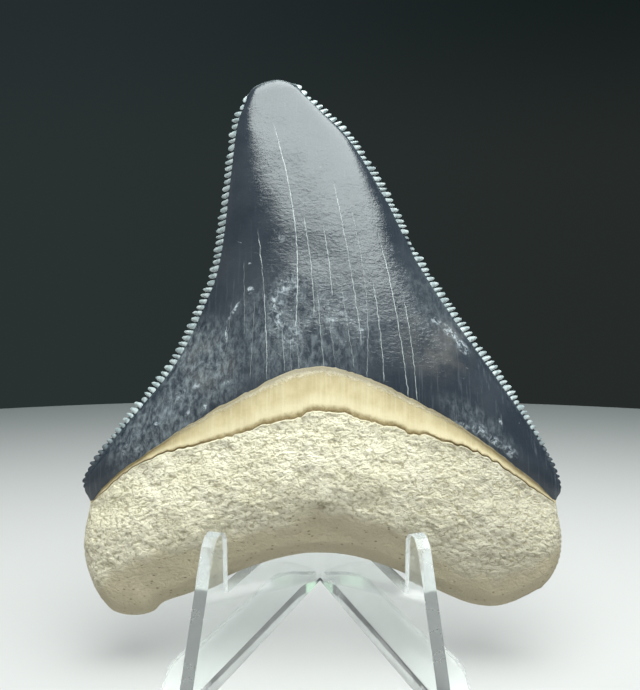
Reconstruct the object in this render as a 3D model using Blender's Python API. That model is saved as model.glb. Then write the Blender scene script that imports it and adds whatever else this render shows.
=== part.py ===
"""A fossil megalodon tooth resting on a small clear easel.

The tooth is one grown piece: a serrated enamel crown, a bare band under it and a two-lobed root.
The easel is one clear moulding: two upright wings that meet in a V, and a thin foot around them.
Metres, +Z up. The tooth's display face looks along -Y.
"""

import math

import bmesh
import bpy
import numpy as np
from mathutils import Matrix, Vector, noise

MM = 0.001
SEED = 7

# How the tooth stands: its blade plane leans back and crosses the height BASE_Z at the depth BASE_Y.
LEAN = math.radians(17.0)
BASE_Y = -22.0
BASE_Z = 12.0

# The crown's two cutting edges, from the tip down to the corners of the enamel (mm across, mm up).
LEFT_EDGE = [
    (-9.5, 59.8), (-11.1, 56.1), (-12.1, 48.5), (-13.4, 37.9), (-15.0, 32.7),
    (-18.7, 24.9), (-24.5, 17.5), (-28.7, 11.8), (-29.4, 9.4), (-28.4, 7.5),
]
RIGHT_EDGE = [
    (-3.1, 61.3), (0.5, 57.8), (4.3, 53.8), (9.0, 46.0), (12.9, 37.9),
    (17.7, 30.2), (23.1, 22.5), (27.5, 15.4), (29.9, 9.7), (29.2, 7.6),
]
TIP = [(-9.5, 59.8), (-8.3, 61.1), (-5.7, 61.9), (-3.1, 61.3)]
SERRATIONS = {"left": 63, "right": 77}
SERRATION_DEPTH = 0.62

# The lower end of the enamel and the top of the root, on the display face and on the far face.
ENAMEL_FRONT = [
    (-28.4, 7.5), (-25.7, 10.3), (-17.5, 15.8), (-8.7, 20.7), (-3.4, 23.1),
    (1.1, 23.6), (7.4, 21.6), (16.6, 16.9), (26.1, 10.3), (29.2, 7.6),
]
ROOT_FRONT = [
    (-28.4, 7.1), (-26.5, 8.7), (-21.3, 12.4), (-11.1, 15.3), (-3.0, 17.6),
    (1.2, 18.3), (8.6, 16.4), (19.0, 13.4), (26.5, 8.8), (29.2, 7.2),
]
ENAMEL_BACK = [(-28.4, 7.5), (-20.2, 9.1), (-9.1, 12.5), (0.5, 14.2), (10.1, 12.3), (20.8, 9.0), (29.2, 7.6)]
ROOT_BACK = [(-28.4, 7.1), (-20.2, 8.4), (-9.1, 11.8), (0.5, 13.5), (10.1, 11.6), (20.8, 8.3), (29.2, 7.2)]

# The outline of the root: its two sides and its arched lower edge.
ROOT_LEFT = [(-28.4, 7.1), (-28.8, 4.0), (-28.6, 0.8), (-27.5, -2.4), (-26.5, -4.1)]
ROOT_RIGHT = [(29.2, 7.2), (29.5, 4.0), (29.2, 0.8), (28.1, -1.5), (26.9, -2.8)]
ROOT_BOTTOM = [
    (-26.5, -4.1), (-24.9, -5.6), (-22.5, -6.1), (-20.3, -5.7), (-18.8, -4.5), (-15.3, -3.3), (-9.1, -0.6),
    (-4.0, 0.9), (0.0, 1.3), (4.6, 0.8), (9.9, -1.0), (14.4, -3.2), (18.6, -4.8), (22.3, -4.8), (26.9, -2.8),
]

# Thickness, each way from the plane of the cutting edges (mm).
CROWN_FRONT = 5.6
CROWN_BACK = 2.9
TIP_BLUNT = {"front": 0.55, "back": 0.75}
ENAMEL_STEP = 0.35
ROOT_STEP = 0.75
ROOT_MIDDLE = 7.9
ROOT_LOBE = 4.3
ROOT_BACK_DEPTH = 4.1
ROOT_ROUND = {"front": 8.4, "back": 6.0}
ROOT_TURN = 1.8
ROOT_RIM = 0.6
HOLLOW = {"across": 0.4, "up": 4.6, "width": 3.2, "height": 2.8, "depth": 0.9}
LUMP = 0.42
PITS = 22
PIT_DEPTH = 0.35

CROWN_ROWS = 34
ROOT_ROWS = 25
COLUMNS = 32
EDGE_INSET = 0.5

# The easel (mm). Lengths along a wing run from the inner corner of the V towards the prong.
HALF_ANGLE = math.radians(20.3)
TURN = math.radians(-0.9)
SHEET = 1.6
WING = [
    (0.0, 0.0), (39.8, 0.0), (33.6, 16.0), (33.0, 17.4), (32.2, 18.3), (31.3, 18.6), (30.4, 18.3),
    (29.8, 17.4), (29.8, 10.75), (18.3, 10.75), (12.6, 34.5), (11.7, 36.6), (10.2, 37.4), (0.0, 37.4),
]
FOOT = [
    (-0.8, 0.2), (-5.4, 0.2), (-7.0, -0.6), (-8.1, -2.2), (-15.7, -22.6), (-16.9, -25.6), (-17.5, -28.2),
    (-17.5, -35.6), (-17.1, -36.6), (-16.2, -37.0), (-14.5, -37.0),
]
FOOT_HEIGHT = 1.5
FOLD_BACK = 3.1


def clear_scene():
    """Starts from an empty file."""
    for found in list(bpy.data.objects):
        bpy.data.objects.remove(found, do_unlink=True)


def material(name, colour, roughness, transmission=0.0):
    """A plain Principled material for one piece."""
    made = bpy.data.materials.new(name)
    made.use_nodes = True
    shader = made.node_tree.nodes["Principled BSDF"]
    shader.inputs["Base Color"].default_value = (*colour, 1.0)
    shader.inputs["Roughness"].default_value = roughness
    shader.inputs["Transmission Weight"].default_value = transmission
    shader.inputs["IOR"].default_value = 1.49
    return made


def smooth(value):
    """An ease from 0 to 1."""
    value = np.clip(value, 0.0, 1.0)
    return value * value * (3.0 - 2.0 * value)


def curve(points):
    """A smooth line through the points, sampled densely."""
    points = np.array(points, float)
    ends = np.vstack([2 * points[0] - points[1], points, 2 * points[-1] - points[-2]])
    steps = np.linspace(0.0, 1.0, 24, endpoint=False)[:, None]
    runs = []
    for a, b, c, d in zip(ends, ends[1:], ends[2:], ends[3:]):
        runs.append(
            0.5 * (2 * b + (c - a) * steps + (2 * a - 5 * b + 4 * c - d) * steps**2
                   + (3 * b - a - 3 * c + d) * steps**3)
        )
    return np.vstack([*runs, points[-1:]])


def along(line, shares):
    """The points at these shares of the line's length."""
    gaps = np.hypot(*np.diff(line, axis=0).T)
    length = np.concatenate([[0.0], np.cumsum(gaps)])
    at = np.asarray(shares) * length[-1]
    return np.stack([np.interp(at, length, line[:, 0]), np.interp(at, length, line[:, 1])], -1)


def serrated(points, count, side, rng):
    """A cutting edge with its serrations: for each one the two corners of its crest and a notch."""
    line = curve(points)
    starts = np.linspace(0.0, 1.0, count + 1)
    starts[1:-1] += rng.uniform(-0.22, 0.22, count - 1) / count
    shares = [0.0]
    offsets = [0.0]
    for start, end in zip(starts, starts[1:]):
        depth = SERRATION_DEPTH * rng.uniform(0.65, 1.15) * (0.55 + 0.45 * smooth(start / 0.08))
        depth *= 1.0 - 0.35 * smooth((start - 0.85) / 0.1)
        shares += [start + (end - start) * 0.22, start + (end - start) * 0.62, end]
        offsets += [0.62 * depth, 0.45 * depth, -0.38 * depth]
    offsets[-1] = 0.0
    shares = np.array(shares)
    before = along(line, np.clip(shares - 0.01, 0.0, 1.0))
    after = along(line, np.clip(shares + 0.01, 0.0, 1.0))
    run = (after - before) / np.hypot(*(after - before).T)[:, None]
    outward = np.stack([-run[:, 1], run[:, 0]], -1) * side
    return along(line, shares) + outward * np.array(offsets)[:, None], shares


def edge_distance(points, outline):
    """How far each point is from the nearest point of the outline."""
    flat = points.reshape(-1, 2)
    nearest = np.full(len(flat), np.inf)
    for start in range(0, len(outline), 64):
        gaps = flat[:, None, :] - outline[None, start:start + 64, :]
        nearest = np.minimum(nearest, np.sqrt((gaps**2).sum(-1)).min(1))
    return nearest.reshape(points.shape[:-1])


def crown_steps():
    """Where the crown's rows lie, from the blunt tip (0) to the corners of the enamel (1)."""
    steps = np.linspace(0.0, 1.0, CROWN_ROWS + 1)
    steps[1] = 0.4 * steps[2]
    return steps


def rows_of(front):
    """One face of the tooth: rows of points from the tip to the root's lower edge, and their depths."""
    share = np.linspace(0.0, 1.0, COLUMNS + 1)
    across = 0.62 * share + 0.38 * (0.5 - 0.5 * np.cos(math.pi * share))
    middle = 2.0 * across - 1.0
    left = curve(LEFT_EDGE)
    right = curve(RIGHT_EDGE)
    enamel = along(curve(ENAMEL_FRONT if front else ENAMEL_BACK), across)
    root_top = along(curve(ROOT_FRONT if front else ROOT_BACK), across)
    root_low = along(curve(ROOT_BOTTOM), across)
    tip_line = curve(TIP)
    name = "front" if front else "back"
    most = CROWN_FRONT if front else CROWN_BACK
    power = 0.85 if front else 0.95
    rows = []
    depths = []

    def straight(first, last):
        return first + (last - first) * across[:, None]

    for step in crown_steps():
        first = along(left, [step])[0]
        last = along(right, [step])[0]
        inset = EDGE_INSET * min(1.0, step / 0.01, (1.0 - step) / 0.1) / np.hypot(*(last - first))
        at = inset + (1.0 - 2.0 * inset) * across
        tip = along(tip_line, at)
        row = first + (last - first) * at[:, None] + (tip - straight(tip[0], tip[-1])) * (1.0 - step) ** 8
        row = row + (enamel - straight(enamel[0], enamel[-1])) * step**2.4
        thick = most * (1.0 - (1.0 - step) ** 1.8)
        thick += TIP_BLUNT[name] * (1.0 - step) ** 2 * min(1.0, step / 0.01)
        # Flatter across near the tip, rounder towards the base.
        flat = 2.0 + 2.0 * (1.0 - step) ** 2
        rows.append(row)
        depths.append(thick * (1.0 - np.abs(2.0 * at - 1.0) ** flat) ** power)

    worn = 1.0 - np.abs(middle) ** 8
    top_depth = most * (1.0 - middle**2) ** power
    for step in (0.05, 0.3, 0.6, 0.88, 1.0):
        rows.append(enamel + (root_top - enamel) * step)
        if front:
            dip = ENAMEL_STEP + 0.12 * math.sin(math.pi * step) + (0.25 if step == 1.0 else 0.0)
        else:
            dip = 0.3 * step
        depths.append(top_depth * (1.0 + 0.06 * step * front) - dip * worn)

    outline = np.vstack([left, curve(ROOT_LEFT), curve(ROOT_BOTTOM), curve(ROOT_RIGHT)[::-1], right[::-1]])
    side_left = curve(ROOT_LEFT)
    side_right = curve(ROOT_RIGHT)
    steps = np.linspace(0.0, 1.0, ROOT_ROWS + 1)
    steps = 0.5 * steps + 0.5 * np.sin(steps * math.pi / 2)
    steps[0] = 0.025
    for step in steps:
        row = root_top + (root_low - root_top) * step
        bend_left = along(side_left, [step])[0] - row[0]
        bend_right = along(side_right, [step])[0] - row[-1]
        row = row + bend_left * (1.0 - across)[:, None] + bend_right * across[:, None]
        gap = edge_distance(row, outline)
        broad = np.clip(gap / ROOT_ROUND[name], 0.0, 1.0)
        rim = ROOT_RIM * smooth(step / 0.4)
        if front:
            belly = ROOT_LOBE + (ROOT_MIDDLE - ROOT_LOBE) * (1.0 - np.abs(middle) ** 1.6) * (1.0 - 0.3 * step**2)
            turned = np.sqrt(1.0 - (1.0 - np.clip(gap / ROOT_TURN, 0.0, 1.0)) ** 2)
            full = rim + (belly - rim) * (0.56 * turned + 0.44 * np.sin(broad * math.pi / 2) ** 1.2)
            top = top_depth * 1.06 + (ROOT_STEP - ENAMEL_STEP) * worn
            depth = top + (full - top) * smooth(step / 0.45)
        else:
            belly = ROOT_BACK_DEPTH + 0.4 * middle**2 - 0.7 * math.exp(-((step - 0.2) / 0.15) ** 2)
            full = -rim + (belly + rim) * np.sqrt(1.0 - (1.0 - broad) ** 2)
            top = top_depth - 0.3 * worn
            depth = top + (full - top) * smooth(step / 0.4)
        rows.append(row)
        depths.append(depth)
    rows = np.array(rows)
    depths = np.array(depths)
    depths[-1] = ROOT_RIM if front else -ROOT_RIM
    return rows, depths


def roughen(rows, depths, front):
    """The root's lumps and pits, and the hollow in the middle of its display face."""
    first = CROWN_ROWS + 6
    for i in range(first, len(rows) - 1):
        for j in range(1, COLUMNS):
            x, y = rows[i, j]
            spot = Vector((x * 0.38, y * 0.5, 3.0 if front else 9.0))
            lump = noise.noise(spot) + 0.7 * noise.noise(spot * 2.1)
            depths[i, j] += LUMP * lump * min(1.0, 0.5 + 0.25 * (i - first))
            if front:
                reach = ((x - HOLLOW["across"]) / HOLLOW["width"]) ** 2
                reach += ((y - HOLLOW["up"]) / HOLLOW["height"]) ** 2
                depths[i, j] -= HOLLOW["depth"] * math.exp(-reach)
    rng = np.random.default_rng(SEED + front)
    for _ in range(PITS):
        i = rng.integers(first + 2, len(rows) - 6)
        j = rng.integers(4, COLUMNS - 3)
        depths[i, j] -= PIT_DEPTH * rng.uniform(0.5, 1.0)


def placed(point, depth):
    """A point of the tooth in the scene: across, up the leaning blade, and out of it towards the viewer."""
    x, y = point
    return Vector((
        x,
        BASE_Y + y * math.sin(LEAN) - depth * math.cos(LEAN),
        BASE_Z + y * math.cos(LEAN) + depth * math.sin(LEAN),
    )) * MM


def zip_faces(mesh, chain, upper, lower, top):
    """Joins a run of rim points to the two grid points beside it. At the top, the upper one is on the rim too."""
    half = 0 if top else (len(chain) - 1) // 2
    for index, (one, two) in enumerate(zip(chain, chain[1:])):
        mesh.faces.new((one, two, upper if index < half else lower))
    mesh.faces.new((chain[half], lower, upper))


def build_tooth():
    rng = np.random.default_rng(SEED)
    mesh = bmesh.new()
    faces = {}
    for name, front in (("front", True), ("back", False)):
        rows, depths = rows_of(front)
        roughen(rows, depths, front)
        faces[name] = rows, depths if front else -depths
    rows, depths = faces["front"]
    last = len(rows) - 1

    # The rim: the tip, the two serrated edges and the outline of the root, shared by both faces.
    chains = {}
    marks = {}
    for name, points, side in (("left", LEFT_EDGE, -1), ("right", RIGHT_EDGE, 1)):
        edge, shares = serrated(points, SERRATIONS[name], side, rng)
        chains[name] = [mesh.verts.new(placed(point, 0.0)) for point in edge]
        marks[name] = [int(np.abs(shares - value).argmin()) for value in crown_steps()]
    rim = {}
    for j in range(1, COLUMNS):
        rim[0, j] = mesh.verts.new(placed(rows[0, j], 0.0))
        rim[last, j] = mesh.verts.new(placed(rows[last, j], ROOT_RIM))
    for name, j in (("left", 0), ("right", COLUMNS)):
        for i in range(CROWN_ROWS + 1):
            rim[i, j] = chains[name][marks[name][i]]
        for i in range(CROWN_ROWS + 1, last + 1):
            rim[i, j] = mesh.verts.new(placed(rows[i, j], depths[i, j]))

    for name in ("front", "back"):
        rows, depths = faces[name]
        grid = dict(rim)
        for i in range(1, last):
            for j in range(1, COLUMNS):
                grid[i, j] = mesh.verts.new(placed(rows[i, j], depths[i, j]))
        for i in range(last):
            crown = i < CROWN_ROWS
            for j in range(COLUMNS):
                if crown and j in (0, COLUMNS - 1):
                    continue
                mesh.faces.new((grid[i, j], grid[i, j + 1], grid[i + 1, j + 1], grid[i + 1, j]))
            if crown:
                for side, inner in (("left", 1), ("right", COLUMNS - 1)):
                    run = chains[side][marks[side][i]:marks[side][i + 1] + 1]
                    zip_faces(mesh, run, grid[i, inner], grid[i + 1, inner], i == 0)
    return finish(mesh, "megalodon_tooth", material("fossil", (0.36, 0.34, 0.28), 0.5))


def finish(mesh, name, look):
    """Turns a bmesh into an object with outward faces."""
    bmesh.ops.triangulate(mesh, faces=mesh.faces)
    bmesh.ops.recalc_face_normals(mesh, faces=mesh.faces)
    data = bpy.data.meshes.new(name)
    mesh.to_mesh(data)
    mesh.free()
    if name == "megalodon_tooth":
        data.shade_smooth()
    data.materials.append(look)
    made = bpy.data.objects.new(name, data)
    bpy.context.scene.collection.objects.link(made)
    return made


def prism(low, high):
    """A closed solid between two matching outlines."""
    mesh = bmesh.new()
    first = [mesh.verts.new(Vector(point) * MM) for point in low]
    second = [mesh.verts.new(Vector(point) * MM) for point in high]
    mesh.faces.new(first)
    mesh.faces.new(second[::-1])
    count = len(first)
    for i in range(count):
        j = (i + 1) % count
        mesh.faces.new((first[i], second[i], second[j], first[j]))
    bmesh.ops.recalc_face_normals(mesh, faces=mesh.faces)
    return mesh


def build_easel():
    look = material("clear_acrylic", (0.93, 0.97, 0.95), 0.05, 1.0)
    toward = Vector((-math.sin(HALF_ANGLE), -math.cos(HALF_ANGLE), 0.0))
    outward = Vector((-math.cos(HALF_ANGLE), math.sin(HALF_ANGLE), 0.0))
    # The wing runs on past the corner, so that both wings meet in one sharp fold.
    past = SHEET / math.tan(HALF_ANGLE) + 1.0
    profile = [(-past if run == 0.0 else run, height) for run, height in WING]
    inner = [toward * run + Vector((0.0, 0.0, height)) for run, height in profile]
    wing = finish(prism(inner, [point + outward * SHEET for point in inner]), "display_easel", look)
    plan = [Vector((x, y, 0.0)) for x, y in FOOT]
    foot = finish(prism(plan, [point + Vector((0.0, 0.0, FOOT_HEIGHT)) for point in plan]), "foot", look)
    combine(wing, foot)

    # The fold is blunt behind. One half is cut off at the middle and mirrored.
    mesh = bmesh.new()
    mesh.from_mesh(wing.data)
    blunt = bmesh.ops.bisect_plane(
        mesh, geom=mesh.verts[:] + mesh.edges[:] + mesh.faces[:], dist=1e-7,
        plane_co=(0.0, FOLD_BACK * MM, 0.0), plane_no=(0.0, 1.0, 0.0), clear_outer=True,
    )
    cut_edges = [item for item in blunt["geom_cut"] if isinstance(item, bmesh.types.BMEdge)]
    bmesh.ops.holes_fill(mesh, edges=cut_edges)
    middle = bmesh.ops.bisect_plane(
        mesh, geom=mesh.verts[:] + mesh.edges[:] + mesh.faces[:], dist=1e-7,
        plane_co=(0.0, 0.0, 0.0), plane_no=(1.0, 0.0, 0.0), clear_outer=True,
    )
    for item in middle["geom_cut"]:
        if isinstance(item, bmesh.types.BMVert):
            item.co.x = 0.0
    copy = bmesh.ops.duplicate(mesh, geom=mesh.verts[:] + mesh.edges[:] + mesh.faces[:])
    for item in copy["geom"]:
        if isinstance(item, bmesh.types.BMVert):
            item.co.x = -item.co.x
    bmesh.ops.remove_doubles(mesh, verts=mesh.verts, dist=1e-6)
    bmesh.ops.rotate(mesh, verts=mesh.verts, matrix=Matrix.Rotation(TURN, 3, "Z"))
    bmesh.ops.triangulate(mesh, faces=mesh.faces)
    bmesh.ops.recalc_face_normals(mesh, faces=mesh.faces)
    mesh.to_mesh(wing.data)
    mesh.free()
    return wing


def combine(target, tool):
    """Joins the second piece into the first."""
    tool.hide_render = True
    tool.display_type = "WIRE"
    cut = target.modifiers.new("join", "BOOLEAN")
    cut.object = tool
    cut.operation = "UNION"
    cut.solver = "EXACT"
    graph = bpy.context.evaluated_depsgraph_get()
    result = bpy.data.meshes.new_from_object(target.evaluated_get(graph))
    target.modifiers.clear()
    target.data = result
    bpy.data.objects.remove(tool, do_unlink=True)


def set_down(pieces):
    """Puts the middle of the whole over the origin, with its lowest point on the ground."""
    points = np.array([vertex.co for piece in pieces for vertex in piece.data.vertices])
    low = points.min(0)
    high = points.max(0)
    shift = Vector((-(low[0] + high[0]) / 2, -(low[1] + high[1]) / 2, -low[2]))
    for piece in pieces:
        for vertex in piece.data.vertices:
            vertex.co += shift


clear_scene()
set_down([build_tooth(), build_easel()])
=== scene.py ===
"""A fossil megalodon tooth on a clear easel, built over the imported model."""
import math

import bmesh
import bpy
import numpy as np
from mathutils import Matrix, Vector, noise


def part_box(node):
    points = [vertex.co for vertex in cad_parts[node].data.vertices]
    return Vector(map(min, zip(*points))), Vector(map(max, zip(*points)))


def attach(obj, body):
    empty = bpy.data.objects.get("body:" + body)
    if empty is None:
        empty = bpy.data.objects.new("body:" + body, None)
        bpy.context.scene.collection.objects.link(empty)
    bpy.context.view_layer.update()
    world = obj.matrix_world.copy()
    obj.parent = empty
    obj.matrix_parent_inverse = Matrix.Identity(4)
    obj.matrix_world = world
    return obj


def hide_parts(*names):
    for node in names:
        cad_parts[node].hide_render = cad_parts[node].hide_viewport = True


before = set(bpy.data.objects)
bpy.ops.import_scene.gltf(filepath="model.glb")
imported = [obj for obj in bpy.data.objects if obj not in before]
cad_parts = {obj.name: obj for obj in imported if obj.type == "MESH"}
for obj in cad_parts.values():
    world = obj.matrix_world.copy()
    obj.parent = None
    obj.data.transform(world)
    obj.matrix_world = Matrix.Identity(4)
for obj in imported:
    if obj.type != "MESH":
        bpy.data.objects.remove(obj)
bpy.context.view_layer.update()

MM = 0.001
SEED = 7

# -------------------- the tooth's shape (mm)
# Its own frame: across, up the leaning blade, and out of the display face.
LEAN = math.radians(17.0)
LEFT_EDGE = [
    (-9.5, 59.8), (-11.1, 56.1), (-12.1, 48.5), (-13.4, 37.9), (-15.0, 32.7),
    (-18.7, 24.9), (-24.5, 17.5), (-28.7, 11.8), (-29.4, 9.4), (-28.4, 7.5),
]
RIGHT_EDGE = [
    (-3.1, 61.3), (0.5, 57.8), (4.3, 53.8), (9.0, 46.0), (12.9, 37.9),
    (17.7, 30.2), (23.1, 22.5), (27.5, 15.4), (29.9, 9.7), (29.2, 7.6),
]
TIP = [(-9.5, 59.8), (-8.3, 61.1), (-5.7, 61.9), (-3.1, 61.3)]
ENAMEL_FRONT = [
    (-28.4, 7.5), (-25.7, 10.3), (-17.5, 15.8), (-8.7, 20.7), (-3.4, 23.1),
    (1.1, 23.6), (7.4, 21.6), (16.6, 16.9), (26.1, 10.3), (29.2, 7.6),
]
ENAMEL_BACK = [
    (-28.4, 7.5), (-20.2, 9.1), (-9.1, 12.5), (0.5, 14.2), (10.1, 12.3), (20.8, 9.0), (29.2, 7.6),
]
ROOT_FRONT = [
    (-28.4, 7.1), (-26.5, 8.7), (-21.3, 12.4), (-11.1, 15.3), (-3.0, 17.6),
    (1.2, 18.3), (8.6, 16.4), (19.0, 13.4), (26.5, 8.8), (29.2, 7.2),
]
ROOT_BACK = [
    (-28.4, 7.1), (-20.2, 8.4), (-9.1, 11.8), (0.5, 13.5), (10.1, 11.6), (20.8, 8.3), (29.2, 7.2),
]
ROOT_LEFT = [(-28.4, 7.1), (-28.8, 4.0), (-28.6, 0.8), (-27.5, -2.4), (-26.5, -4.1)]
ROOT_RIGHT = [(29.2, 7.2), (29.5, 4.0), (29.2, 0.8), (28.1, -1.5), (26.9, -2.8)]
ROOT_BOTTOM = [
    (-26.5, -4.1), (-24.9, -5.6), (-22.5, -6.1), (-20.3, -5.7), (-18.8, -4.5), (-15.3, -3.3),
    (-9.1, -0.6), (-4.0, 0.9), (0.0, 1.3), (4.6, 0.8), (9.9, -1.0), (14.4, -3.2), (18.6, -4.8),
    (22.3, -4.8), (26.9, -2.8),
]
# Where the root's smoother lower band begins on the display face, and how wide it is behind.
LOW_BAND_FRONT = [
    (-28.5, -4.0), (-25.7, -2.0), (-22.8, 0.3), (-19.7, 1.6), (-14.5, 2.5), (-10.6, 3.5),
    (-7.8, 4.2), (-4.4, 5.2), (0.0, 6.6), (2.8, 6.0), (6.8, 5.3), (9.3, 4.5), (13.2, 2.0),
    (16.0, 0.0), (20.0, -1.1), (23.4, -0.3), (26.3, 0.9), (29.0, 2.0),
]
LOW_BAND_BACK = 2.5
# A nutrient hole in the root, and the shallow hollow around it.
FORAMEN = {"across": 0.2, "up": 7.1, "width": 0.55, "height": 0.4, "depth": 0.6}
HOLLOW = {"across": 0.4, "up": 4.6, "width": 3.2, "height": 2.8, "depth": 0.9}

# Depths of the blade, of the broken enamel's edge, and of the root.
ENAMEL_STEP = 0.35
ROOT_STEP = 0.75
BAND_SWELL = 0.06
BACK_DIP = 0.3
ROOT_MIDDLE = 7.9
ROOT_LOBE = 4.3
ROOT_BACK_DEPTH = 4.1
ROOT_RIM = 0.6

# What differs between the display face and the back: the way it faces, its lines, the blade's
# greatest depth and how it falls off to the edges, how blunt the tip is, and two noise seeds.
FACES = {
    "front": {
        "sign": 1.0, "enamel": ENAMEL_FRONT, "root": ROOT_FRONT,
        "thick": 5.6, "power": 0.85, "blunt": 0.55, "seeds": (2.0, 5.0),
    },
    "back": {
        "sign": -1.0, "enamel": ENAMEL_BACK, "root": ROOT_BACK,
        "thick": 2.9, "power": 0.95, "blunt": 0.75, "seeds": (1.0, 4.0),
    },
}

# The grid of points on each face.
COLUMNS = 200
CROWN_ROWS = 80
BAND_STEPS = (0.02, 0.06, 0.14, 0.28, 0.42, 0.56, 0.7, 0.82, 0.91, 0.97, 1.0)
ROOT_ROWS = 108
BAND_FIRST = CROWN_ROWS
ROOT_FIRST = CROWN_ROWS + len(BAND_STEPS)
LAST_ROW = ROOT_FIRST + ROOT_ROWS + 1
BLUNT_STEP = 0.004

# The serrations, from the tip down. A power below 1 makes them finer towards the base. Their
# lobes stand out and hook towards the base, with notches between them and a bevel behind.
SERRATIONS = {"left": 66, "right": 82}
SPACING_POWER = 0.94
LOBE_POINTS = 10
LOBE_REACH = 0.38
LOBE_HOOK = 0.2
NOTCH = 0.36
INSET = 0.52
CHIPPED_SHARE = 0.1
DAMAGED = {"side": "right", "from": 0.375, "to": 0.415, "size": 0.4}
CUTTING_EDGES = {
    "left": {"line": LEFT_EDGE, "outward": -1, "corner": 0, "inner": 1},
    "right": {"line": RIGHT_EDGE, "outward": 1, "corner": COLUMNS, "inner": COLUMNS - 1},
}

# -------------------- marks on the enamel (mm)
# Cracks: bottom and top (across, up), sideways bow, half width and strength.
CRACKS = [
    ((-3.0, 28.7), (-6.0, 55.4), 1.34, 0.075, 0.9),
    ((-6.4, 22.2), (-7.8, 41.1), 0.33, 0.062, 0.75),
    ((-0.7, 30.2), (-2.1, 43.1), 0.26, 0.062, 0.7),
    ((0.5, 23.5), (-0.3, 33.3), -0.03, 0.05, 0.6),
    ((1.5, 32.5), (0.4, 41.6), 0.13, 0.06, 0.75),
    ((5.0, 26.6), (1.7, 47.4), 0.27, 0.06, 0.75),
    ((4.1, 23.6), (2.6, 33.8), 0.02, 0.045, 0.5),
    ((5.6, 22.2), (3.8, 44.0), 0.91, 0.045, 0.5),
    ((7.7, 22.0), (6.5, 34.4), 0.17, 0.065, 0.8),
    ((10.6, 20.0), (7.5, 39.8), 0.36, 0.065, 0.8),
    ((11.7, 19.6), (10.4, 32.0), 0.14, 0.06, 0.75),
    ((-4.2, 23.1), (-4.6, 28.3), 0.0, 0.05, 0.5),
    ((-3.4, 23.1), (-3.6, 27.3), 0.0, 0.04, 0.4),
    ((-2.5, 23.4), (-2.9, 28.8), 0.0, 0.045, 0.45),
    ((1.9, 23.6), (1.1, 29.8), 0.0, 0.04, 0.35),
    ((-9.2, 27.9), (-9.5, 37.3), 0.0, 0.045, 0.35),
    ((-8.4, 22.3), (-8.0, 31.8), 0.0, 0.045, 0.35),
    ((7.5, 39.8), (6.6, 44.0), 0.0, 0.04, 0.3),
    ((-11.5, 25.8), (-10.9, 32.0), 0.0, 0.04, 0.3),
]

# Scuffed patches: centre (across, up), half sizes, tilt in degrees, strength.
SCUFFS = [
    ((-4.5, 33.3), (0.88, 0.52), 35.0, 0.6),
    ((-5.6, 31.5), (0.38, 1.3), 10.0, 0.8),
    ((-5.1, 29.3), (0.38, 1.3), -15.0, 0.8),
    ((-3.7, 28.2), (1.0, 0.52), 10.0, 0.6),
    ((1.3, 29.4), (0.88, 0.39), 0.0, 0.45),
    ((2.3, 30.2), (0.56, 0.52), 0.0, 0.6),
    ((-4.8, 40.0), (0.5, 0.78), 0.0, 0.35),
    ((-8.8, 36.8), (0.31, 0.13), 0.0, 1.0),
    ((-8.6, 33.3), (0.5, 0.52), 0.0, 1.0),
    ((-10.7, 30.7), (0.23, 1.56), -32.0, 1.0),
    ((-11.5, 27.8), (0.19, 1.04), 0.0, 0.9),
    ((8.9, 38.9), (0.31, 0.45), 0.0, 0.8),
    ((5.0, 28.2), (0.62, 0.17), 10.0, 0.8),
    ((8.7, 29.4), (0.5, 0.14), 0.0, 0.5),
    ((14.4, 29.7), (0.75, 0.52), -30.0, 0.8),
    ((16.1, 28.4), (1.38, 0.65), -42.0, 1.0),
    ((17.7, 26.5), (1.38, 0.65), -52.0, 0.9),
    ((17.1, 16.7), (1.12, 0.39), -20.0, 0.7),
    ((19.3, 16.1), (1.12, 0.78), -30.0, 0.9),
    ((21.2, 14.8), (1.38, 0.52), -35.0, 0.9),
    ((23.2, 13.5), (1.12, 0.65), -42.0, 0.8),
    ((22.1, 17.2), (0.25, 0.45), 20.0, 1.0),
    ((-13.9, 18.8), (0.25, 0.65), -20.0, 1.1),
    ((-16.0, 18.1), (0.25, 0.52), -30.0, 1.0),
    ((-19.8, 16.9), (0.5, 0.23), 0.0, 0.9),
    ((-11.3, 21.8), (0.38, 0.32), 0.0, 0.9),
    ((-15.1, 21.6), (0.62, 0.65), 0.0, 0.5),
    ((-23.8, 13.8), (0.38, 0.78), -20.0, 0.6),
    ((-22.0, 13.8), (0.62, 0.39), 0.0, 0.6),
    ((-17.0, 20.3), (0.75, 1.3), -20.0, 0.4),
]

# Hazy and warmer zones, in the same terms, and a curved smear: its centre and half sizes.
HAZE = [
    ((-14.6, 24.0), (6.5, 6.5), -35.0, 0.95),
    ((-19.0, 17.0), (9.0, 4.0), 38.0, 1.0),
    ((-2.0, 28.0), (10.0, 7.5), 0.0, 0.7),
    ((19.5, 16.5), (6.5, 2.0), -36.0, 0.45),
    ((14.5, 31.0), (3.5, 7.0), 38.0, 0.35),
]
WARM = [((14.5, 26.5), (5.0, 4.5), 0.0, 1.0), ((-13.5, 24.0), (3.4, 3.6), 0.0, 1.0)]
SMEAR = {"across": -3.2, "up": 30.7, "width": 2.1, "height": 3.2}

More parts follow.
